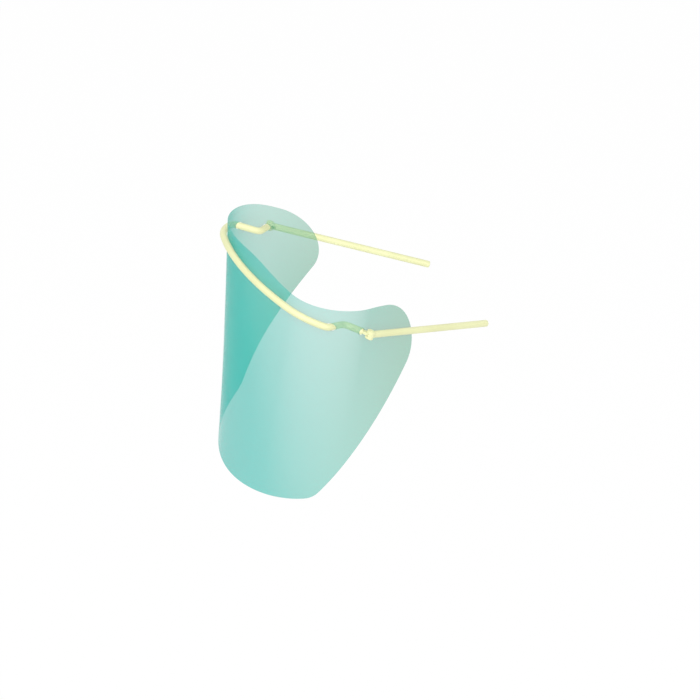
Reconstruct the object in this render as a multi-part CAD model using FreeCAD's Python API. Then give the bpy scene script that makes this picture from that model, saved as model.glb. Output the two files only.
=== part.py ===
import FreeCAD, Part
import math
import os

# Disposable face shield worn like spectacles: a springy brow bar with two folding temples
# carries one curved sheet of tinted film. Millimetres and degrees.
# The wearer looks along -Y, +X is the wearer's left, +Z is up.
# The origin lies midway between the two hinge axes.

# Rods
ROD_DIAMETER = 4.8
HINGE_SPAN = 158.0
BAR_REACH = 59.5
TEMPLE_REACH = 122.0
TEMPLE_TOE_IN = 17.0
FRAME_PITCH = 21.4
ROD_END_ROUND = 0.6

# Bends of the brow bar beside each hinge: it dives through the film, turns back and comes out again
DIVE_HEADING = 57.0
INNER_HEADING = 114.0
OUTER_HEADING = 50.0
BEND_RADIUS = 6.0

# Hinge: tongue on the bar, fork on the temple, headed pin through both
KNUCKLE_DIAMETER = 5.8
KNUCKLE_HEIGHT = 5.8
KNUCKLE_ROUND = 0.5
TONGUE_THICKNESS = 1.9
TONGUE_WIDTH = 3.6
TONGUE_PLAY = 0.15
NECK_REACH = 5.8
NECK_OVERLAP = 3.0
FORK_PLAY = 0.5
PIN_DIAMETER = 1.6
PIN_RUNNING_GAP = 0.05
PIN_SEAT_GAP = 0.02
PIN_HEAD_DIAMETER = 2.8
PIN_HEAD_HEIGHT = 0.4
FOLD_TILT = 2.3
FOLD_ANGLE = 70.0
OPEN_ANGLE = 20.0

# Film: thickness, clearances, bow at the frame and at the free lower edge
FILM_THICKNESS = 0.2
FILM_GAP = 0.4
HINGE_FILM_GAP = 1.2
SLOT_GAP = 0.3
FRONT_RADIUS = 168.0
FILM_LEAN = 4.0
FREE_EDGE_RADIUS = 106.0
FREE_EDGE_TWIST = -9.7
FREE_EDGE_SWAY = -14.5
TWIST_DEPTH = 60.0

# Flat pattern of the film, measured from the line where it meets the frame's plane
TOP_FRONT = 16.0
TOP_DIP = 11.0
TOP_DIP_PLACE = 50.0
TOP_SHOULDER = 17.0
TOP_SHOULDER_PLACE = 95.0
TOP_SIDE = 19.0
LOBE_REACH = 43.0
LOBE_RADIUS = 31.0
REAR_EDGE_SLOPE = 26.4
FILM_DROP = 178.0
BOTTOM_RADIUS = 165.0
CORNER_RADIUS = 25.0
FILM_SPARE = 12.0
SECTION_STEP = 5.0

rod_radius = ROD_DIAMETER / 2
hinge_x = HINGE_SPAN / 2
knuckle_radius = KNUCKLE_DIAMETER / 2
pin_radius = PIN_DIAMETER / 2
temple_heading = 90 + TEMPLE_TOE_IN
bar_offset = rod_radius + FILM_GAP + FILM_THICKNESS / 2
hinge_offset = knuckle_radius + HINGE_FILM_GAP + FILM_THICKNESS / 2

ORIGIN = FreeCAD.Vector(0, 0, 0)
X_AXIS = FreeCAD.Vector(1, 0, 0)
Z_AXIS = FreeCAD.Vector(0, 0, 1)


def heading(degrees):
    """Unit vector in the frame's plane, turned from +X towards the rear."""
    angle = math.radians(degrees)
    return FreeCAD.Vector(math.cos(angle), math.sin(angle), 0)


def outward(degrees):
    """Unit normal on the outer side of a curve that runs along a heading."""
    return heading(degrees - 90)


def pitched(shape):
    """Turn a shape from the flat frame's plane to its pitch when worn."""
    turned = shape.copy()
    turned.rotate(ORIGIN, X_AXIS, -FRAME_PITCH)
    return turned


# Film section at the frame: a wide front bow, two corner bows and straight lobes along the temples

film_front = FreeCAD.Vector(0, bar_offset - BAR_REACH, 0)
front_centre = film_front + FreeCAD.Vector(0, FRONT_RADIUS, 0)
lobe_start = FreeCAD.Vector(hinge_x, 0, 0) - outward(temple_heading) * hinge_offset
to_lobe = lobe_start - front_centre
inward_at_lobe = outward(temple_heading) * -1
bow_radius = (FRONT_RADIUS ** 2 - to_lobe.Length ** 2) / (2 * (to_lobe.dot(inward_at_lobe) + FRONT_RADIUS))
bow_centre = lobe_start + inward_at_lobe * bow_radius
to_bow = bow_centre - front_centre
front_turn = math.degrees(math.atan2(to_bow.x, -to_bow.y))
front_length = math.radians(front_turn) * FRONT_RADIUS
bow_length = math.radians(temple_heading - front_turn) * bow_radius
side_length = front_length + bow_length


def frame_section(place):
    """Point and heading of the film in the frame's plane, at a distance round the film from its middle."""
    distance = abs(place)
    if distance < front_length:
        turn = math.degrees(distance / FRONT_RADIUS)
        point = front_centre + outward(turn) * FRONT_RADIUS
    elif distance < side_length:
        turn = front_turn + math.degrees((distance - front_length) / bow_radius)
        point = bow_centre + outward(turn) * bow_radius
    else:
        turn = temple_heading
        point = lobe_start + heading(turn) * (distance - side_length)
    if place < 0:
        return FreeCAD.Vector(-point.x, point.y, 0), -turn
    return point, turn


def free_section(place):
    """Point and heading of the film at the level of its free lower edge, where it opens, sways and twists."""
    turn = math.degrees(place / FREE_EDGE_RADIUS)
    pivot = film_front + FreeCAD.Vector(0, TWIST_DEPTH, 0)
    centre = film_front + FreeCAD.Vector(0, FREE_EDGE_RADIUS, 0)
    arm = centre + outward(turn) * FREE_EDGE_RADIUS - pivot
    spin = FreeCAD.Rotation(Z_AXIS, FREE_EDGE_TWIST)
    point = pivot + spin.multVec(arm) + X_AXIS * FREE_EDGE_SWAY
    return point, turn + FREE_EDGE_TWIST


def film_point(place, rise, proud):
    """Point of the film: place round it, rise above the frame's plane, and offset to its outer side."""
    upper, upper_turn = frame_section(place)
    lower, lower_turn = free_section(place)
    share = -rise / FILM_DROP
    level = (upper + outward(upper_turn) * proud) * (1 - share) + (lower + outward(lower_turn) * proud) * share
    pitch = FreeCAD.Rotation(X_AXIS, -FRAME_PITCH)
    lean = FreeCAD.Rotation(X_AXIS, -FILM_LEAN)
    return pitch.multVec(level) + lean.multVec(Z_AXIS) * rise


# Film pattern: lobes beside the temples, straight rear edges, rounded corners and a bowed lower edge

lobe_place = side_length + LOBE_REACH - LOBE_RADIUS
lobe_rise = TOP_SIDE - LOBE_RADIUS
bottom_rise = BOTTOM_RADIUS - FILM_DROP


def flat(place, rise):
    return FreeCAD.Base.Vector2d(place, rise)


def corner_of_pattern():
    """Centre of the round corner that touches the rear edge and the bowed lower edge."""
    slope = math.radians(REAR_EDGE_SLOPE)
    start_place = lobe_place + (LOBE_RADIUS - CORNER_RADIUS) * math.cos(slope)
    start_rise = lobe_rise - (LOBE_RADIUS - CORNER_RADIUS) * math.sin(slope)
    across = start_place
    along = start_rise - bottom_rise
    half = across * math.sin(slope) + along * math.cos(slope)
    reach = BOTTOM_RADIUS - CORNER_RADIUS
    run = half + math.sqrt(half ** 2 - across ** 2 - along ** 2 + reach ** 2)
    return start_place - run * math.sin(slope), start_rise - run * math.cos(slope)


def arc_2d(place, rise, radius, first, last):
    circle = Part.Geom2d.Circle2d(flat(place, rise), radius)
    return Part.Geom2d.ArcOfCircle2d(circle, math.radians(first), math.radians(last))


def film_pattern():
    """Outline of the flat film, counter-clockwise from its lower edge."""
    corner_place, corner_rise = corner_of_pattern()
    slope = math.radians(REAR_EDGE_SLOPE)
    meet = math.degrees(math.atan2(corner_rise - bottom_rise, corner_place))
    out_place = math.cos(slope)
    out_rise = -math.sin(slope)
    low_place = corner_place + CORNER_RADIUS * out_place
    low_rise = corner_rise + CORNER_RADIUS * out_rise
    high_place = lobe_place + LOBE_RADIUS * out_place
    high_rise = lobe_rise + LOBE_RADIUS * out_rise
    crown = Part.Geom2d.BSplineCurve2d()
    crown.interpolate(
        Points=[
            flat(lobe_place, TOP_SIDE),
            flat(TOP_SHOULDER_PLACE, TOP_SHOULDER),
            flat(TOP_DIP_PLACE, TOP_DIP),
            flat(0, TOP_FRONT),
            flat(-TOP_DIP_PLACE, TOP_DIP),
            flat(-TOP_SHOULDER_PLACE, TOP_SHOULDER),
            flat(-lobe_place, TOP_SIDE),
        ],
        InitialTangent=flat(-1, 0),
        FinalTangent=flat(-1, 0),
    )
    return [
        arc_2d(0, bottom_rise, BOTTOM_RADIUS, -180 - meet, meet),
        arc_2d(corner_place, corner_rise, CORNER_RADIUS, meet, -REAR_EDGE_SLOPE),
        Part.Geom2d.Line2dSegment(flat(low_place, low_rise), flat(high_place, high_rise)),
        arc_2d(lobe_place, lobe_rise, LOBE_RADIUS, -REAR_EDGE_SLOPE, 90),
        crown,
        arc_2d(-lobe_place, lobe_rise, LOBE_RADIUS, 90, 180 + REAR_EDGE_SLOPE),
        Part.Geom2d.Line2dSegment(flat(-high_place, high_rise), flat(-low_place, low_rise)),
        arc_2d(-corner_place, corner_rise, CORNER_RADIUS, 180 + REAR_EDGE_SLOPE, 180 - meet),
    ]


def film_surface(proud):
    """Ruled surface of one face of the film, with distance round it and rise as its parameters."""
    half_width = side_length + LOBE_REACH + FILM_SPARE
    steps = 2 * math.ceil(half_width / SECTION_STEP)
    places = [half_width * (2 * step / steps - 1) for step in range(steps + 1)]
    rises = [-FILM_DROP - FILM_SPARE, TOP_SIDE + FILM_SPARE]
    curves = []
    for rise in rises:
        curve = Part.BSplineCurve()
        curve.interpolate(Points=[film_point(place, rise, proud) for place in places], Parameters=places)
        curves.append(curve)
    lower, upper = curves
    surface = Part.BSplineSurface()
    surface.buildFromPolesMultsKnots(
        [list(pair) for pair in zip(lower.getPoles(), upper.getPoles())],
        lower.getMultiplicities(),
        [2, 2],
        lower.getKnots(),
        rises,
        False,
        False,
        lower.Degree,
        1,
    )
    return surface


def film_sheet():
    """Closed thin sheet: the same pattern on both faces of the film, joined round the edge."""
    pattern = film_pattern()
    faces = []
    rims = []
    for proud in (FILM_THICKNESS / 2, -FILM_THICKNESS / 2):
        surface = film_surface(proud)
        rim = [curve.toShape(surface) for curve in pattern]
        face = Part.Face(surface, Part.Wire(rim))
        face.validate()
        faces.append(face)
        rims.append(rim)
    for outer, inner in zip(*rims):
        faces.append(Part.makeRuledSurface(outer, inner))
    shell = Part.Shell(faces)
    shell.sewShape()
    solid = Part.Solid(shell)
    if solid.Volume < 0:
        solid.reverse()
    return solid


# Brow bar: one rod that follows the front of the film and bends through it beside each hinge

bend_start = bow_centre + outward(DIVE_HEADING) * (bow_radius + bar_offset)


def left_bend(first, last, radius):
    """Travel of a bend that turns from one heading to a greater one."""
    return (outward(last) - outward(first)) * radius


dive_travel = left_bend(DIVE_HEADING, INNER_HEADING, BEND_RADIUS)
return_travel = left_bend(INNER_HEADING, OUTER_HEADING, -BEND_RADIUS)
legs = FreeCAD.Vector(hinge_x, 0, 0) - bend_start - dive_travel - return_travel
inner_run = heading(INNER_HEADING)
outer_run = heading(OUTER_HEADING)
legs_area = inner_run.x * outer_run.y - inner_run.y * outer_run.x
inner_leg = (legs.x * outer_run.y - legs.y * outer_run.x) / legs_area
outer_leg = (inner_run.x * legs.y - inner_run.y * legs.x) / legs_area


def arc_edge(centre, radius, first, last):
    """Arc through the outward sides of two headings."""
    middle = (first + last) / 2
    points = [centre + outward(turn) * radius for turn in (first, middle, last)]
    return Part.Arc(*points).toShape()


def dive_edges():
    """Bends and legs on the wearer's left, from the front of the film to the hinge axis."""
    dive_end = bend_start + dive_travel
    inner_end = dive_end + inner_run * inner_leg
    return_end = inner_end + return_travel
    hinge = return_end + outer_run * outer_leg
    dive_centre = bend_start - outward(DIVE_HEADING) * BEND_RADIUS
    return_centre = inner_end + outward(INNER_HEADING) * BEND_RADIUS
    return [
        arc_edge(dive_centre, BEND_RADIUS, DIVE_HEADING, INNER_HEADING),
        Part.LineSegment(dive_end, inner_end).toShape(),
        arc_edge(return_centre, -BEND_RADIUS, INNER_HEADING, OUTER_HEADING),
        Part.LineSegment(return_end, hinge).toShape(),
    ]


def mirrored(shape):
    return shape.mirror(ORIGIN, X_AXIS)


def rod_along(edges, start, run, radius):
    """Round rod swept along edges that follow each other."""
    section = Part.Wire(Part.makeCircle(radius, start, run))
    return Part.Wire(edges).makePipeShell([section], True, False)


def bar_rod():
    corner = arc_edge(bow_centre, bow_radius + bar_offset, front_turn, DIVE_HEADING)
    front = arc_edge(front_centre, FRONT_RADIUS + bar_offset, -front_turn, front_turn)
    left = [corner] + dive_edges()
    right = [mirrored(edge) for edge in reversed(left)]
    start = FreeCAD.Vector(-hinge_x, 0, 0)
    run = FreeCAD.Vector(-outer_run.x, outer_run.y, 0)
    return rod_along(right + [front] + left, start, run, rod_radius)


# Hinges: built round the Z axis with the temple along +X, then set at the wearer's left

fork_height = TONGUE_THICKNESS + 2 * TONGUE_PLAY
neck_turn = 180 + OUTER_HEADING - temple_heading


def disc(radius, height):
    return Part.makeCylinder(radius, height, FreeCAD.Vector(0, 0, -height / 2))


def at_hinge(shape, tilt):
    """Lean a hinge about its temple, then set it at the wearer's left."""
    placed = shape.copy()
    placed.rotate(ORIGIN, X_AXIS, tilt)
    placed.rotate(ORIGIN, Z_AXIS, temple_heading)
    placed.translate(FreeCAD.Vector(hinge_x, 0, 0))
    return placed


def neck(beside, above, turn):
    """Flat neck from the hinge axis into the bar's end, with room beside and above it, turned from the temple."""
    width = TONGUE_WIDTH + 2 * beside
    height = TONGUE_THICKNESS + 2 * above
    corner = FreeCAD.Vector(0, -width / 2, -height / 2)
    flat_neck = Part.makeBox(NECK_REACH + NECK_OVERLAP, width, height, corner)
    flat_neck.rotate(ORIGIN, Z_AXIS, turn)
    return flat_neck


def tongue(spare):
    """Neck and eye that carry on from the end of the bar."""
    eye = disc(TONGUE_WIDTH / 2 + spare, TONGUE_THICKNESS + 2 * spare)
    return neck(spare, spare, neck_turn).fuse(eye)


def swing_room():
    """Slit in the fork where the tongue swings; its walls stop the temple when folded and when spread."""
    eye = disc(TONGUE_WIDTH / 2 + FORK_PLAY, fork_height)
    base = FreeCAD.Vector(0, 0, -fork_height / 2)
    sweep = Part.makeCylinder(NECK_REACH, fork_height, base, Z_AXIS, FOLD_ANGLE + OPEN_ANGLE)
    sweep.rotate(ORIGIN, Z_AXIS, neck_turn - FOLD_ANGLE)
    stops = (neck_turn - FOLD_ANGLE, neck_turn + OPEN_ANGLE)
    return eye.fuse([sweep] + [neck(FORK_PLAY, TONGUE_PLAY, stop) for stop in stops]).removeSplitter()


def temple():
    """Rod that ends in a round fork at the hinge, with the pin's seat in both ears."""
    rod = Part.makeCylinder(rod_radius, TEMPLE_REACH, ORIGIN, X_AXIS)
    end = [edge for edge in rod.Edges if edge.BoundBox.XMin > TEMPLE_REACH / 2]
    rod = rod.makeFillet(ROD_END_ROUND, end)
    knuckle = disc(knuckle_radius, KNUCKLE_HEIGHT)
    rims = [edge for edge in knuckle.Edges if isinstance(edge.Curve, Part.Circle)]
    knuckle = knuckle.makeFillet(KNUCKLE_ROUND, rims)
    # The round face starts on the side away from the rod
    knuckle.rotate(ORIGIN, Z_AXIS, 180)
    seat = disc(pin_radius + PIN_SEAT_GAP, KNUCKLE_HEIGHT * 2)
    return rod.fuse(knuckle).cut([swing_room(), seat]).removeSplitter()


def both_hinges(shape):
    """A shape set at the wearer's left and right hinge."""
    return [at_hinge(shape, FOLD_TILT), mirrored(at_hinge(shape, -FOLD_TILT))]


def hinge_pin():
    shank = disc(pin_radius, KNUCKLE_HEIGHT)
    head = Part.makeCylinder(PIN_HEAD_DIAMETER / 2, PIN_HEAD_HEIGHT, Z_AXIS * (KNUCKLE_HEIGHT / 2))
    top = [edge for edge in head.Edges if edge.BoundBox.ZMin > KNUCKLE_HEIGHT / 2]
    head = head.makeFillet(PIN_HEAD_HEIGHT / 2, [edge for edge in top if isinstance(edge.Curve, Part.Circle)])
    return shank.fuse(head).removeSplitter()


def brow_bar():
    """Bent rod, hollowed at each end round the swing of the fork, with a tongue and its eye."""
    swing = disc(NECK_REACH, KNUCKLE_HEIGHT * 2)
    hole = disc(pin_radius + PIN_RUNNING_GAP, KNUCKLE_HEIGHT)
    rod = bar_rod().cut(both_hinges(swing))
    return rod.fuse(both_hinges(tongue(0))).cut(both_hinges(hole)).removeSplitter()


def slot_tool(tilt):
    """The diving stretch of the bar and its tongue, with the slot's clearance round them."""
    rod = rod_along(dive_edges(), bend_start, heading(DIVE_HEADING), rod_radius + SLOT_GAP)
    rod = rod.cut(at_hinge(disc(NECK_REACH - SLOT_GAP, KNUCKLE_HEIGHT * 2), tilt))
    return rod.fuse(at_hinge(tongue(SLOT_GAP), tilt))


def film_visor():
    slots = [slot_tool(FOLD_TILT), mirrored(slot_tool(-FOLD_TILT))]
    return film_sheet().cut([pitched(slot) for slot in slots])


# One temple folds above the frame's plane and the other below it, so that both can fold flat
pieces = {
    "film_visor": film_visor(),
    "brow_bar": pitched(brow_bar()),
    "left_temple": pitched(at_hinge(temple(), FOLD_TILT)),
    "right_temple": pitched(mirrored(at_hinge(temple(), -FOLD_TILT))),
    "left_hinge_pin": pitched(at_hinge(hinge_pin(), FOLD_TILT)),
    "right_hinge_pin": pitched(mirrored(at_hinge(hinge_pin(), -FOLD_TILT))),
}

os.makedirs("parts", exist_ok=True)
for name, shape in pieces.items():
    shape.exportStep(f"parts/{name}.step")
    print(name, "valid", shape.isValid(), "solids", len(shape.Solids), "volume", round(shape.Volume, 2))
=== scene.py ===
import math

import bmesh
import bpy
from mathutils import Matrix, Vector


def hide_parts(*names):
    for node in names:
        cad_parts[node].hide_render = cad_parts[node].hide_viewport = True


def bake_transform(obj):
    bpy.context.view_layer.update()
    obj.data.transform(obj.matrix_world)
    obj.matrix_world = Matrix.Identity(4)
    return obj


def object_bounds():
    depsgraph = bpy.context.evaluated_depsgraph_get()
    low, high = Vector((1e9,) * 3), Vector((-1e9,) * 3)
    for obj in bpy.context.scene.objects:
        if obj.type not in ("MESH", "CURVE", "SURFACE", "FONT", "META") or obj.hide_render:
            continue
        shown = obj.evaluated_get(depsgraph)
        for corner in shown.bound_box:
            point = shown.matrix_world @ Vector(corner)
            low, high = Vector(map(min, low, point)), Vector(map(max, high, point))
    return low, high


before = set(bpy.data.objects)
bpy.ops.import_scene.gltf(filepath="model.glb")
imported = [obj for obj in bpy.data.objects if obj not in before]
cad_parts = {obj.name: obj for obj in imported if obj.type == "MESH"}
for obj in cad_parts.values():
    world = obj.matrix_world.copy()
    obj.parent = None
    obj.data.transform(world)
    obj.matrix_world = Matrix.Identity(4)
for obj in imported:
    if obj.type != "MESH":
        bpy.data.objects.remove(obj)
cad_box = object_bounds()

# Disposable face shield worn like spectacles. Metres and degrees, in the frame of the solids:
# the wearer looks along -Y, +X is the wearer's left, +Z is up, and the origin lies between the hinges.

MM = 0.001

# Rods, as in the solids
ROD_RADIUS = 2.4 * MM
HINGE_X = 79 * MM
BAR_REACH = 59.5 * MM
TEMPLE_HEADING = 107
FRAME_PITCH = 21.4
DIVE_HEADING = 57
INNER_HEADING = 114
OUTER_HEADING = 50
BEND_RADIUS = 6 * MM
TONGUE_THICKNESS = 1.9 * MM
TONGUE_WIDTH = 3.6 * MM
NECK_REACH = 5.8 * MM
NECK_OVERLAP = 3 * MM
FOLD_TILT = 2.3

# Film, as in the solids
FILM_THICKNESS = 0.2 * MM
FILM_GAP = 0.4 * MM
HINGE_FILM_OFFSET = 4.2 * MM
SLOT_GAP = 0.3 * MM
FRONT_RADIUS = 168 * MM
FILM_LEAN = 4
FREE_EDGE_RADIUS = 106 * MM
FREE_EDGE_TWIST = -9.7
FREE_EDGE_SWAY = -14.5 * MM
TWIST_DEPTH = 60 * MM
TOP_FRONT = 16 * MM
TOP_DIP = 11 * MM
TOP_DIP_PLACE = 50 * MM
TOP_SHOULDER = 17 * MM
TOP_SHOULDER_PLACE = 95 * MM
TOP_SIDE = 19 * MM
LOBE_REACH = 43 * MM
LOBE_RADIUS = 31 * MM
REAR_EDGE_SLOPE = 26.4
FILM_DROP = 178 * MM
BOTTOM_RADIUS = 165 * MM
CORNER_RADIUS = 25 * MM

# Film as it hangs: slid round the frame to the wearer's left at the top, and trimmed at its lower edge
FILM_SLIDE = 5.5 * MM
FILM_TRIM = 7 * MM

# Slant of the line that hangs from the hinge, across which the film's lobe would bend when a temple folds;
# it is worked out but not used
BEND_SLANT = 8

# Mesh fineness
FILM_COLUMNS = 96
FILM_ROWS = 100
ROD_SIDES = 32
BEND_STEP = 4
SMOOTH_LIMIT = 40
MERGE_DISTANCE = 0.01 * MM

# Film finish: teal tint, lighter at the front as painted light and duller towards the rear as painted
# shade, density of one face from the lower to the upper edge, more where the film is seen aslant, and the
# share of it that light rays meet
FILM_LIT_FRONT_TINT = (0.03, 0.45, 0.4)
FILM_SHADED_REAR_TINT = (0.03, 0.32, 0.19)
FILM_DEPTHS = (-60 * MM, 30 * MM)
FILM_HEIGHTS = (-150 * MM, 20 * MM)
FILM_UPPER_DENSITY = 0.255
FILM_LOWER_DENSITY = 0.385
FILM_UPPER_ASLANT = 0.5
FILM_LOWER_ASLANT = 0.85
FILM_DENSITY_LIMIT = 0.52
FILM_DENSITY_EASE = 0.08
FILM_SHADE = 0.05
FILM_ROUGHNESS = (0.12, 0.2)
FILM_GLOSS = 0.02
FILM_RIPPLE = 0.1 * MM
FILM_MOTTLE = (12, 300)

# Rod and pin finish
ROD_LIGHT = (0.71, 0.72, 0.42)
ROD_DEEP = (0.67, 0.68, 0.38)
PIN_LIGHT = (0.71, 0.72, 0.43)
PIN_DEEP = (0.66, 0.67, 0.37)
ROD_ROUGHNESS = (0.32, 0.44)
ROD_IOR = 1.46
ROD_GRAIN = 0.005 * MM
ROD_MOTTLE = (40, 900)

# Unevenness in both: detail of its noise, and the stretches of its values that are used
MOTTLE_DETAIL = 3
SLOW_RANGE = (0.35, 0.65)
FINE_RANGE = (0.3, 0.7)

# Studio
AMBIENT_LIGHT = 0.72
FLOOR_HALF_WIDTH = 6
FLOOR_BELOW = 0.3
FLOOR_WHITE = 0.97
FLOOR_COLOUR = (0.9, 0.9, 0.9, 1)
FLOOR_ROUGHNESS = 0.9

# Lamps: direction from the shield, distance, width and power
KEY_LAMP = ((0.5, -0.9, 1.1), 1.6, 1.2, 17)
FILL_LAMP = ((1.0, 0.4, 0.5), 1.8, 1.5, 11)

# Camera: the picture is as wide as FRAME_WIDTH at the shield, and its middle lies beside the origin
CAMERA_AZIMUTH = 63.6
CAMERA_ELEVATION = 33.2
LENS = 200
SENSOR = 36
FRAME_WIDTH = 0.4829
AIM_RIGHT = 0.0215
AIM_UP = -0.0491

X_AXIS = Vector((1, 0, 0))
Z_AXIS = Vector((0, 0, 1))
BAR_OFFSET = ROD_RADIUS + FILM_GAP + FILM_THICKNESS / 2


def turned(degrees, axis):
    """Turn about an axis through the origin."""
    return Matrix.Rotation(math.radians(degrees), 3, axis)


PITCH = turned(-FRAME_PITCH, X_AXIS)
LEAN = turned(-FILM_LEAN, X_AXIS)


def heading(degrees):
    """Unit vector in the frame's plane, turned from +X towards the rear."""
    angle = math.radians(degrees)
    return Vector((math.cos(angle), math.sin(angle), 0))


def outward(degrees):
    """Unit normal on the outer side of a curve that runs along a heading."""
    return heading(degrees - 90)


# Film section at the frame: a wide front bow, two corner bows and straight lobes along the temples

film_front = Vector((0, BAR_OFFSET - BAR_REACH, 0))
front_centre = film_front + Vector((0, FRONT_RADIUS, 0))
lobe_start = X_AXIS * HINGE_X - outward(TEMPLE_HEADING) * HINGE_FILM_OFFSET
to_lobe = lobe_start - front_centre
lobe_inward = -outward(TEMPLE_HEADING)
bow_room = FRONT_RADIUS ** 2 - to_lobe.length_squared
bow_radius = bow_room / (2 * (to_lobe.dot(lobe_inward) + FRONT_RADIUS))
bow_centre = lobe_start + lobe_inward * bow_radius
to_bow = bow_centre - front_centre
front_turn = math.degrees(math.atan2(to_bow.x, -to_bow.y))
front_length = math.radians(front_turn) * FRONT_RADIUS
side_length = front_length + math.radians(TEMPLE_HEADING - front_turn) * bow_radius


def frame_section(place):
    """Point and heading of the film in the frame's plane, at a distance round the film from its middle."""
    distance = abs(place)
    if distance < front_length:
        turn = math.degrees(distance / FRONT_RADIUS)
        point = front_centre + outward(turn) * FRONT_RADIUS
    elif distance < side_length:
        turn = front_turn + math.degrees((distance - front_length) / bow_radius)
        point = bow_centre + outward(turn) * bow_radius
    else:
        turn = TEMPLE_HEADING
        point = lobe_start + heading(turn) * (distance - side_length)
    if place < 0:
        return Vector((-point.x, point.y, 0)), -turn
    return point, turn


def free_section(place):
    """Point and heading of the film at its free lower edge, where it opens, sways and twists."""
    turn = math.degrees(place / FREE_EDGE_RADIUS)
    pivot = film_front + Vector((0, TWIST_DEPTH, 0))
    centre = film_front + Vector((0, FREE_EDGE_RADIUS, 0))
    untwisted = centre + outward(turn) * FREE_EDGE_RADIUS
    point = pivot + turned(FREE_EDGE_TWIST, Z_AXIS) @ (untwisted - pivot) + X_AXIS * FREE_EDGE_SWAY
    return point, turn + FREE_EDGE_TWIST


def film_point(place, rise, proud):
    """Point of the film: place round it, rise above the frame's plane, and offset to its outer side."""
    upper, upper_turn = frame_section(place)
    lower, lower_turn = free_section(place)
    share = -rise / FILM_DROP
    level = (upper + outward(upper_turn) * proud).lerp(lower + outward(lower_turn) * proud, share)
    return PITCH @ level + LEAN @ Z_AXIS * rise


# Flat pattern of the film: lobes beside the temples, straight rear edges, round corners, bowed lower edge

slope = math.radians(REAR_EDGE_SLOPE)
lobe_place = side_length + LOBE_REACH - LOBE_RADIUS
lobe_rise = TOP_SIDE - LOBE_RADIUS
bottom_rise = BOTTOM_RADIUS + FILM_TRIM - FILM_DROP
film_reach = lobe_place + LOBE_RADIUS


def corner_of_pattern():
    """Centre of the round corner that touches the rear edge and the bowed lower edge."""
    across = lobe_place + (LOBE_RADIUS - CORNER_RADIUS) * math.cos(slope)
    rise = lobe_rise - (LOBE_RADIUS - CORNER_RADIUS) * math.sin(slope)
    along = rise - bottom_rise
    half = across * math.sin(slope) + along * math.cos(slope)
    reach = BOTTOM_RADIUS - CORNER_RADIUS
    run = half + math.sqrt(half ** 2 - across ** 2 - along ** 2 + reach ** 2)
    return across - run * math.sin(slope), rise - run * math.cos(slope)


corner_place, corner_rise = corner_of_pattern()


def arc_rise(place, centre_place, centre_rise, radius, side):
    """Rise of an arc of the outline, on its upper or lower side."""
    return centre_rise + side * math.sqrt(max(radius ** 2 - (place - centre_place) ** 2, 0))


def lower_edge(place):
    """Bowed lower edge, round corner, straight rear edge and the lobe's underside."""
    meet = math.atan2(corner_rise - bottom_rise, corner_place)
    corner_ends = corner_place + CORNER_RADIUS * math.cos(slope)
    rear_ends = lobe_place + LOBE_RADIUS * math.cos(slope)
    if place < BOTTOM_RADIUS * math.cos(meet):
        return arc_rise(place, 0, bottom_rise, BOTTOM_RADIUS, -1)
    if place < corner_ends:
        return arc_rise(place, corner_place, corner_rise, CORNER_RADIUS, -1)
    if place < rear_ends:
        start = corner_rise - CORNER_RADIUS * math.sin(slope)
        return start + (place - corner_ends) / math.tan(slope)
    return arc_rise(place, lobe_place, lobe_rise, LOBE_RADIUS, -1)


def crown_slopes():
    """Slopes of the smooth crown at its dip and shoulder; it lies level in the middle and at the lobe."""
    runs = (TOP_DIP_PLACE, TOP_SHOULDER_PLACE - TOP_DIP_PLACE, lobe_place - TOP_SHOULDER_PLACE)
    climbs = (TOP_DIP - TOP_FRONT, TOP_SHOULDER - TOP_DIP, TOP_SIDE - TOP_SHOULDER)
    pulls = [3 * climb / run ** 2 for climb, run in zip(climbs, runs)]
    first = 2 / runs[0] + 2 / runs[1]
    last = 2 / runs[1] + 2 / runs[2]
    link = 1 / runs[1]
    near = pulls[0] + pulls[1]
    far = pulls[1] + pulls[2]
    share = first * last - link ** 2
    return (near * last - far * link) / share, (far * first - near * link) / share


dip_slope, shoulder_slope = crown_slopes()
CROWN = (
    (0, TOP_FRONT, 0),
    (TOP_DIP_PLACE, TOP_DIP, dip_slope),
    (TOP_SHOULDER_PLACE, TOP_SHOULDER, shoulder_slope),
    (lobe_place, TOP_SIDE, 0),
)


def upper_edge(place):
    """Crown that dips beside the nose, rises to its shoulders and runs level into the lobes."""
    if place > lobe_place:
        return arc_rise(place, lobe_place, lobe_rise, LOBE_RADIUS, 1)
    for (start, low, low_slope), (end, high, high_slope) in zip(CROWN, CROWN[1:]):
        if place <= end:
            run = end - start
            share = (place - start) / run
            rest = 1 - share
            straight = low * rest ** 2 * (1 + 2 * share) + high * share ** 2 * (1 + 2 * rest)
            return straight + run * share * rest * (low_slope * rest - high_slope * share)


# Mesh helpers

def finished(name, bm, *materials):
    """Mesh object at the origin from a bmesh, smooth except at its edges."""
    mesh = bpy.data.meshes.new(name)
    bm.to_mesh(mesh)
    bm.free()
    mesh.shade_smooth()
    mesh.set_sharp_from_angle(angle=math.radians(SMOOTH_LIMIT))
    for material in materials:
        mesh.materials.append(material)
    piece = bpy.data.objects.new(name, mesh)
    bpy.context.collection.objects.link(piece)
    return piece


def cut_away(piece, *tools):
    """Cut tool objects out of a piece, keep the result in its own mesh, and remove the tools."""
    for tool in tools:
        cut = piece.modifiers.new("cut", "BOOLEAN")
        cut.operation = "DIFFERENCE"
        cut.solver = "EXACT"
        cut.object = tool
    bpy.context.view_layer.update()
    shape = piece.evaluated_get(bpy.context.evaluated_depsgraph_get())
    mesh = bpy.data.meshes.new_from_object(shape)
    piece.modifiers.clear()
    piece.data = mesh
    for tool in tools:
        bpy.data.objects.remove(tool)


# Rod sweeps in the frame's plane

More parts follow.
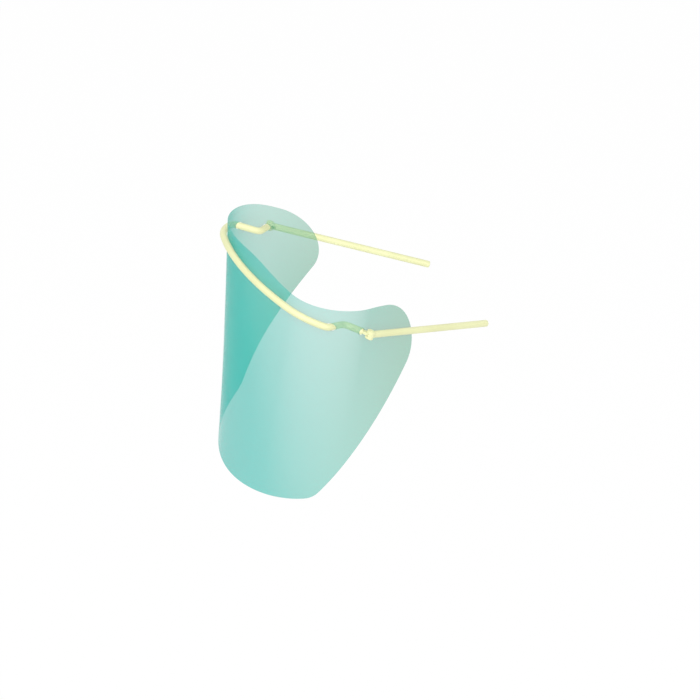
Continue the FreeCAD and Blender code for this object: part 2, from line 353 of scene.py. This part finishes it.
def ring_across(bm, point, run, radius):
    """Open ring of a rod, square to the rod's run."""
    place = Matrix.Translation(point) @ run.to_track_quat("Z", "Y").to_matrix().to_4x4()
    made = bmesh.ops.create_circle(bm, segments=ROD_SIDES, radius=radius, matrix=place)
    return list({edge for vert in made["verts"] for edge in vert.link_edges})


def bend_rod(bm, ring, centre, turn):
    """Carry a ring round a bend and return the ring at its end."""
    steps = max(2, round(abs(turn) / BEND_STEP))
    made = bmesh.ops.spin(bm, geom=ring, cent=centre, axis=Z_AXIS, angle=math.radians(turn), steps=steps)
    return [item for item in made["geom_last"] if isinstance(item, bmesh.types.BMEdge)]


def extend_rod(bm, ring, travel):
    """Carry a ring straight on and return the ring at its end."""
    made = bmesh.ops.extrude_edge_only(bm, edges=ring)["geom"]
    verts = [item for item in made if isinstance(item, bmesh.types.BMVert)]
    bmesh.ops.translate(bm, verts=verts, vec=travel)
    ends = set(verts)
    edges = [item for item in made if isinstance(item, bmesh.types.BMEdge)]
    return [edge for edge in edges if set(edge.verts) <= ends]


bend_start = bow_centre + outward(DIVE_HEADING) * (bow_radius + BAR_OFFSET)
dive_travel = (outward(INNER_HEADING) - outward(DIVE_HEADING)) * BEND_RADIUS
return_travel = (outward(INNER_HEADING) - outward(OUTER_HEADING)) * BEND_RADIUS
legs = X_AXIS * HINGE_X - bend_start - dive_travel - return_travel
inner_run = heading(INNER_HEADING)
outer_run = heading(OUTER_HEADING)
legs_area = inner_run.x * outer_run.y - inner_run.y * outer_run.x
inner_leg = inner_run * ((legs.x * outer_run.y - legs.y * outer_run.x) / legs_area)
outer_leg = outer_run * ((inner_run.x * legs.y - inner_run.y * legs.x) / legs_area)


def dive_through_film(bm, ring, last_leg):
    """Bends and legs on the wearer's left, from the front of the film towards the hinge axis."""
    dive_centre = bend_start - outward(DIVE_HEADING) * BEND_RADIUS
    ring = bend_rod(bm, ring, dive_centre, INNER_HEADING - DIVE_HEADING)
    ring = extend_rod(bm, ring, inner_leg)
    inner_end = bend_start + dive_travel + inner_leg
    turn_centre = inner_end + outward(INNER_HEADING) * BEND_RADIUS
    ring = bend_rod(bm, ring, turn_centre, OUTER_HEADING - INNER_HEADING)
    return extend_rod(bm, ring, last_leg)


def close_and_face(bm):
    """Close the open ends of a shape and turn its faces outwards."""
    bmesh.ops.remove_doubles(bm, verts=bm.verts, dist=MERGE_DISTANCE)
    bmesh.ops.holes_fill(bm, edges=[edge for edge in bm.edges if edge.is_boundary])
    bmesh.ops.recalc_face_normals(bm, faces=bm.faces)


def set_at_side(bm, side):
    """Close a shape made in the frame's plane at the wearer's left, and pitch it at its own side."""
    if side < 0:
        bmesh.ops.scale(bm, verts=bm.verts, vec=(-1, 1, 1))
    close_and_face(bm)
    bmesh.ops.rotate(bm, verts=bm.verts, cent=(0, 0, 0), matrix=PITCH)


def rod_slot_tool(side, material):
    """The diving stretch of the bar with the slot's clearance round it."""
    bm = bmesh.new()
    ring = ring_across(bm, bend_start, heading(DIVE_HEADING), ROD_RADIUS + SLOT_GAP)
    dive_through_film(bm, ring, outer_leg - outer_run * (NECK_REACH - SLOT_GAP))
    set_at_side(bm, side)
    return finished("rod_slot_tool", bm, material)


def tongue_slot_tool(side, material):
    """The bar's flat tongue with the slot's clearance round it."""
    bm = bmesh.new()
    bmesh.ops.create_cube(bm, size=1)
    size = (NECK_REACH + NECK_OVERLAP, TONGUE_WIDTH + 2 * SLOT_GAP, TONGUE_THICKNESS + 2 * SLOT_GAP)
    bmesh.ops.translate(bm, verts=bm.verts, vec=(-0.5, 0, 0))
    bmesh.ops.scale(bm, verts=bm.verts, vec=size)
    bmesh.ops.rotate(bm, verts=bm.verts, cent=(0, 0, 0), matrix=turned(OUTER_HEADING, Z_AXIS))
    lean = turned(side * FOLD_TILT, heading(TEMPLE_HEADING))
    bmesh.ops.rotate(bm, verts=bm.verts, cent=(0, 0, 0), matrix=lean)
    bmesh.ops.translate(bm, verts=bm.verts, vec=X_AXIS * HINGE_X)
    set_at_side(bm, side)
    return finished("tongue_slot_tool", bm, material)


# Film in two halves, one for each temple

def film_half(name, side, material, seam_material):
    """One half of the film: a grid laid on the flat pattern, wrapped to its bow and given its thickness."""
    bm = bmesh.new()
    bmesh.ops.create_grid(bm, x_segments=FILM_COLUMNS, y_segments=FILM_ROWS, size=0.5)
    at_seam = bm.verts.layers.int.new("at_seam")
    for vert in bm.verts:
        across = math.sin((vert.co.x + 0.5) * math.pi / 2)
        vert[at_seam] = across < 1 / FILM_COLUMNS
        place = across * film_reach
        low = lower_edge(place)
        rise = low + (upper_edge(place) - low) * (vert.co.y + 0.5)
        slide = FILM_SLIDE * (1 + rise / FILM_DROP)
        vert.co = film_point(side * place + slide, rise, FILM_THICKNESS / 2)
    bmesh.ops.remove_doubles(bm, verts=bm.verts, dist=MERGE_DISTANCE)
    if side < 0:
        bmesh.ops.reverse_faces(bm, faces=bm.faces)
    bmesh.ops.solidify(bm, geom=bm.faces, thickness=FILM_THICKNESS)
    for face in bm.faces:
        face.material_index = all(vert[at_seam] for vert in face.verts)
    bm.verts.layers.int.remove(at_seam)
    piece = finished(name, bm, material, seam_material)
    cut_away(piece, rod_slot_tool(side, material), tongue_slot_tool(side, material))
    return piece


def bend_with_temple(piece, side):
    """Work out the slanting line that hangs from the hinge, across which the lobe of the film would follow
    its temple, and bake the piece's placing into its mesh; nothing is bent.
    """
    hang = LEAN @ Z_AXIS
    along = PITCH @ heading(TEMPLE_HEADING)
    level = (along - hang * along.dot(hang)).normalized()
    slant = math.radians(BEND_SLANT)
    across = level * math.cos(slant) + hang * math.sin(slant)
    across.x *= side
    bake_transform(piece)


# Finishes

def new_finish(name):
    """Material with a Principled shader, its node tree and that shader."""
    material = bpy.data.materials.new(name)
    material.use_nodes = True
    tree = material.node_tree
    return material, tree, tree.nodes["Principled BSDF"]


def mottle_group():
    """Slow and fine unevenness of extruded plastic as two values round one half."""
    tree = bpy.data.node_groups.new("mottle", "ShaderNodeTree")
    for label in ("Slow Scale", "Fine Scale"):
        tree.interface.new_socket(label, in_out="INPUT", socket_type="NodeSocketFloat")
    for label in ("Slow", "Fine"):
        tree.interface.new_socket(label, in_out="OUTPUT", socket_type="NodeSocketFloat")
    inside = tree.nodes.new("NodeGroupInput")
    outside = tree.nodes.new("NodeGroupOutput")
    where = tree.nodes.new("ShaderNodeTexCoord")
    for label in ("Slow", "Fine"):
        noise = tree.nodes.new("ShaderNodeTexNoise")
        noise.inputs["Detail"].default_value = MOTTLE_DETAIL
        tree.links.new(where.outputs["Object"], noise.inputs["Vector"])
        tree.links.new(inside.outputs[f"{label} Scale"], noise.inputs["Scale"])
        tree.links.new(noise.outputs["Fac"], outside.inputs[label])
    return tree


def add_mottle(tree, group, slow, fine):
    """Unevenness in a material, at its own two scales."""
    node = tree.nodes.new("ShaderNodeGroup")
    node.node_tree = group
    node.inputs["Slow Scale"].default_value = slow
    node.inputs["Fine Scale"].default_value = fine
    return node


def remap(tree, value, low, high, to_low, to_high):
    """Value carried from one range to another."""
    node = tree.nodes.new("ShaderNodeMapRange")
    for label, number in (("From Min", low), ("From Max", high), ("To Min", to_low), ("To Max", to_high)):
        node.inputs[label].default_value = number
    tree.links.new(value, node.inputs["Value"])
    return node.outputs["Result"]


def blend_colours(tree, share, first, second):
    """Mix of two colours, each given as numbers or as a socket."""
    node = tree.nodes.new("ShaderNodeMix")
    node.data_type = "RGBA"
    tree.links.new(share, node.inputs["Factor"])
    sockets = [socket for socket in node.inputs if socket.type == "RGBA"]
    for socket, colour in zip(sockets, (first, second)):
        if isinstance(colour, tuple):
            socket.default_value = (*colour, 1)
        else:
            tree.links.new(colour, socket)
    return [socket for socket in node.outputs if socket.type == "RGBA"][0]


def calculate(tree, operation, first, second):
    """Sum, product or other result of two values."""
    node = tree.nodes.new("ShaderNodeMath")
    node.operation = operation
    tree.links.new(first, node.inputs[0])
    tree.links.new(second, node.inputs[1])
    return node.outputs["Value"]


def limited(tree, value, limit, ease):
    """Value that levels off below a limit."""
    node = tree.nodes.new("ShaderNodeMath")
    node.operation = "SMOOTH_MIN"
    node.inputs[1].default_value = limit
    node.inputs[2].default_value = ease
    tree.links.new(value, node.inputs[0])
    return node.outputs["Value"]


def add_bump(tree, shader, height, depth):
    """Shallow relief on a shader."""
    node = tree.nodes.new("ShaderNodeBump")
    node.inputs["Distance"].default_value = depth
    tree.links.new(height, node.inputs["Height"])
    tree.links.new(node.outputs["Normal"], shader.inputs["Normal"])


def rod_finish(name, group, light, deep):
    """Pale yellow extruded plastic with a soft gloss."""
    material, tree, shader = new_finish(name)
    mottle = add_mottle(tree, group, *ROD_MOTTLE)
    share = remap(tree, mottle.outputs["Slow"], *SLOW_RANGE, 0, 1)
    tree.links.new(blend_colours(tree, share, light, deep), shader.inputs["Base Color"])
    roughness = remap(tree, mottle.outputs["Fine"], *FINE_RANGE, *ROD_ROUGHNESS)
    tree.links.new(roughness, shader.inputs["Roughness"])
    add_bump(tree, shader, mottle.outputs["Fine"], ROD_GRAIN)
    shader.inputs["IOR"].default_value = ROD_IOR
    return material


def film_finish(name, group, density_share):
    """Thin tinted film, denser where it is seen aslant and towards its lower edge, and faintly rippled.

    A density share of nought makes it clear.
    """
    material, tree, shader = new_finish(name)
    mottle = add_mottle(tree, group, *FILM_MOTTLE)
    where = tree.nodes.new("ShaderNodeTexCoord")
    axes = tree.nodes.new("ShaderNodeSeparateXYZ")
    tree.links.new(where.outputs["Object"], axes.inputs["Vector"])
    # Teal tint with painted light and shade: brighter at the front, duller towards the rear
    rearward = remap(tree, axes.outputs["Y"], *FILM_DEPTHS, 0, 1)
    tint_and_painted_shade = blend_colours(tree, rearward, FILM_LIT_FRONT_TINT, FILM_SHADED_REAR_TINT)
    tree.links.new(tint_and_painted_shade, shader.inputs["Base Color"])
    plain = remap(tree, axes.outputs["Z"], *FILM_HEIGHTS, FILM_LOWER_DENSITY, FILM_UPPER_DENSITY)
    slant = tree.nodes.new("ShaderNodeLayerWeight")
    slant.inputs["Blend"].default_value = 0.5
    square = calculate(tree, "MULTIPLY", slant.outputs["Facing"], slant.outputs["Facing"])
    aslant = remap(tree, axes.outputs["Z"], *FILM_HEIGHTS, FILM_LOWER_ASLANT, FILM_UPPER_ASLANT)
    full = calculate(tree, "ADD", plain, calculate(tree, "MULTIPLY", square, aslant))
    density = limited(tree, full, FILM_DENSITY_LIMIT, FILM_DENSITY_EASE)
    path = tree.nodes.new("ShaderNodeLightPath")
    lighting = calculate(tree, "MAXIMUM", path.outputs["Is Shadow Ray"], path.outputs["Is Diffuse Ray"])
    share = remap(tree, lighting, 0, 1, density_share, density_share * FILM_SHADE)
    tree.links.new(calculate(tree, "MULTIPLY", density, share), shader.inputs["Alpha"])
    roughness = remap(tree, mottle.outputs["Fine"], *FINE_RANGE, *FILM_ROUGHNESS)
    tree.links.new(roughness, shader.inputs["Roughness"])
    add_bump(tree, shader, mottle.outputs["Slow"], FILM_RIPPLE)
    shader.inputs["Specular IOR Level"].default_value = FILM_GLOSS
    return material


# Studio

def seen_directly(tree):
    """One for camera, mirror and see-through rays, nought for rays that light the object."""
    path = tree.nodes.new("ShaderNodeLightPath")
    seen = calculate(tree, "MAXIMUM", path.outputs["Is Camera Ray"], path.outputs["Is Glossy Ray"])
    return calculate(tree, "MAXIMUM", seen, path.outputs["Is Transmission Ray"])


def white_world():
    """White surroundings, dimmer for the rays that light the shield."""
    world = bpy.data.worlds.new("studio")
    bpy.context.scene.world = world
    world.use_nodes = True
    tree = world.node_tree
    background = tree.nodes["Background"]
    background.inputs["Color"].default_value = (1, 1, 1, 1)
    strength = remap(tree, seen_directly(tree), 0, 1, AMBIENT_LIGHT, 1)
    tree.links.new(strength, background.inputs["Strength"])


def pale_floor():
    """Wide floor well below the shield, white where it is seen and with a faint shadow."""
    bm = bmesh.new()
    bmesh.ops.create_grid(bm, x_segments=1, y_segments=1, size=FLOOR_HALF_WIDTH)
    bmesh.ops.translate(bm, verts=bm.verts, vec=(0, 0, cad_box[0][2] - FLOOR_BELOW))
    material, tree, shader = new_finish("floor_paper")
    shader.inputs["Base Color"].default_value = FLOOR_COLOUR
    shader.inputs["Roughness"].default_value = FLOOR_ROUGHNESS
    glow = tree.nodes.new("ShaderNodeEmission")
    mix = tree.nodes.new("ShaderNodeMixShader")
    tree.links.new(remap(tree, seen_directly(tree), 0, 1, 0, FLOOR_WHITE), mix.inputs["Fac"])
    tree.links.new(shader.outputs["BSDF"], mix.inputs[1])
    tree.links.new(glow.outputs["Emission"], mix.inputs[2])
    tree.links.new(mix.outputs["Shader"], tree.nodes["Material Output"].inputs["Surface"])
    floor = finished("floor", bm, material)


def soft_lamp(name, direction, distance, size, power):
    """Square lamp that points at the shield."""
    lamp = bpy.data.lights.new(name, "AREA")
    lamp.shape = "SQUARE"
    lamp.size = size
    lamp.energy = power
    holder = bpy.data.objects.new(name, lamp)
    bpy.context.collection.objects.link(holder)
    place = Vector(direction).normalized()
    holder.location = shield_middle + place * distance
    holder.rotation_euler = place.to_track_quat("Z", "Y").to_euler()


def photo_camera():
    """Long-lens camera at the photograph's angle and framing."""
    azimuth = math.radians(CAMERA_AZIMUTH)
    height = math.radians(CAMERA_ELEVATION)
    back = Vector((
        math.sin(azimuth) * math.cos(height),
        -math.cos(azimuth) * math.cos(height),
        math.sin(height),
    ))
    turn = (-back).to_track_quat("-Z", "Y")
    lens = bpy.data.cameras.new("camera")
    lens.lens = LENS
    lens.sensor_width = SENSOR
    camera = bpy.data.objects.new("camera", lens)
    bpy.context.collection.objects.link(camera)
    aim = turn @ Vector((AIM_RIGHT, AIM_UP, 0))
    camera.location = aim + back * (FRAME_WIDTH * LENS / SENSOR)
    camera.rotation_euler = turn.to_euler()
    bpy.context.scene.camera = camera


shield_middle = (Vector(cad_box[0]) + Vector(cad_box[1])) / 2
mottle = mottle_group()
film = film_finish("tinted_film", mottle, 1)
film_seam = film_finish("clear_seam", mottle, 0)
rod = rod_finish("yellow_rod", mottle, ROD_LIGHT, ROD_DEEP)
pin = rod_finish("pin_plastic", mottle, PIN_LIGHT, PIN_DEEP)

for name, side, temple in (("film_left", 1, "left_temple"), ("film_right", -1, "right_temple")):
    half = film_half(name, side, film, film_seam)
    bend_with_temple(half, side)
    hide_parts("film_visor")

for material, names in (
    (rod, ("brow_bar", "left_temple", "right_temple")),
    (pin, ("left_hinge_pin", "right_hinge_pin")),
):
    for name in names:
        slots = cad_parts[name].data.materials
        slots.clear()
        slots.append(material)

white_world()
pale_floor()
soft_lamp("key", *KEY_LAMP)
soft_lamp("fill", *FILL_LAMP)
photo_camera()
bpy.context.scene.view_settings.view_transform = "Standard"
